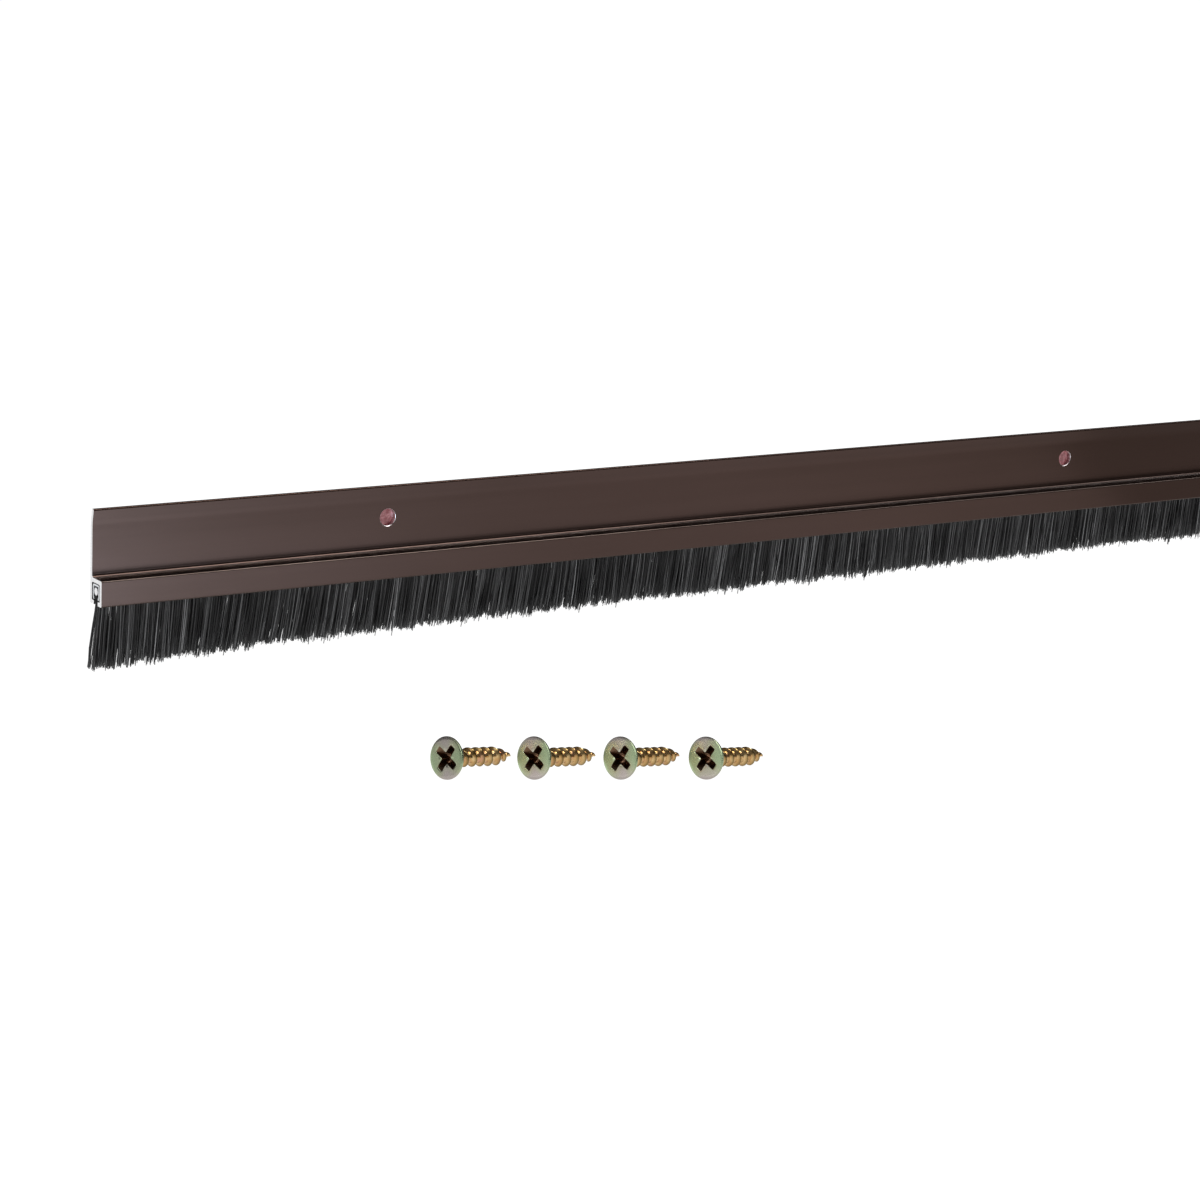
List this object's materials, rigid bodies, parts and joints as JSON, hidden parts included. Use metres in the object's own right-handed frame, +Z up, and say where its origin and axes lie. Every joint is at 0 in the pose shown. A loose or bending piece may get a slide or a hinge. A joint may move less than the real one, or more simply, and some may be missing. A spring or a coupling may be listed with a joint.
{
  "type": "door sweep",
  "caption": "Brush door sweep: brown flanged aluminium channel with drilled holes, a black strip brush that slides in its slot, mounting tape behind, and loose countersunk screws.",
  "frame": {"origin": "middle of the face that meets the door (the tape's release liner), on the line of the screw holes at mid-length", "axes": "+X along the sweep, +Y into the door so the front faces -Y, +Z up with the bristles hanging down"},
  "size_m": [1.0016, 0.1716, 0.0456],
  "materials": {
    "brown_anodised_aluminium": "dark bronze anodised, satin, with fine extrusion lines",
    "clear_acrylic_tape": "clear acrylic, the red liner showing through it",
    "red_release_film": "thin smooth film",
    "galvanised_steel": "zinc coated strip",
    "steel_wire": "drawn wire",
    "black_nylon_filament": "crimped monofilament, satin",
    "yellow_zinc_steel": "yellow passivated zinc with a faint rainbow tint"
  },
  "bodies": {
    "carrier": {"carrier_flange": "brown_anodised_aluminium", "carrier_roof": "brown_anodised_aluminium", "carrier_front_wall": "brown_anodised_aluminium", "carrier_rear_lip": "brown_anodised_aluminium", "carrier_front_lip": "brown_anodised_aluminium", "adhesive_tape": "clear_acrylic_tape", "release_liner": "red_release_film"},
    "brush": {"brush_channel": "galvanised_steel", "core_wire": "steel_wire", "bristles_01": "black_nylon_filament", "bristles_02": "black_nylon_filament", "bristles_03": "black_nylon_filament", "bristles_04": "black_nylon_filament", "bristles_05": "black_nylon_filament", "bristles_06": "black_nylon_filament", "bristles_07": "black_nylon_filament", "bristles_08": "black_nylon_filament", "bristles_09": "black_nylon_filament", "bristles_10": "black_nylon_filament", "bristles_11": "black_nylon_filament", "bristles_12": "black_nylon_filament", "bristles_13": "black_nylon_filament", "bristles_14": "black_nylon_filament", "bristles_15": "black_nylon_filament", "bristles_16": "black_nylon_filament", "bristles_17": "black_nylon_filament", "bristles_18": "black_nylon_filament", "bristles_19": "black_nylon_filament", "bristles_20": "black_nylon_filament"},
    "loose_screw_1": {"screw_1": "yellow_zinc_steel"},
    "loose_screw_2": {"screw_2": "yellow_zinc_steel"},
    "loose_screw_3": {"screw_3": "yellow_zinc_steel"},
    "loose_screw_4": {"screw_4": "yellow_zinc_steel"}
  },
  "joints": [
    {"name": "brush_slide", "type": "slide", "parent": "carrier", "child": "brush", "axis": [1, 0, 0], "range_m": [-1, 1]},
    {"name": "screw_1_lift", "type": "slide", "parent": "carrier", "child": "loose_screw_1", "axis": [0, 0, 1], "range_m": [0, 0.06]},
    {"name": "screw_2_lift", "type": "slide", "parent": "carrier", "child": "loose_screw_2", "axis": [0, 0, 1], "range_m": [0, 0.06]},
    {"name": "screw_3_lift", "type": "slide", "parent": "carrier", "child": "loose_screw_3", "axis": [0, 0, 1], "range_m": [0, 0.06]},
    {"name": "screw_4_lift", "type": "slide", "parent": "carrier", "child": "loose_screw_4", "axis": [0, 0, 1], "range_m": [0, 0.06]}
  ]
}
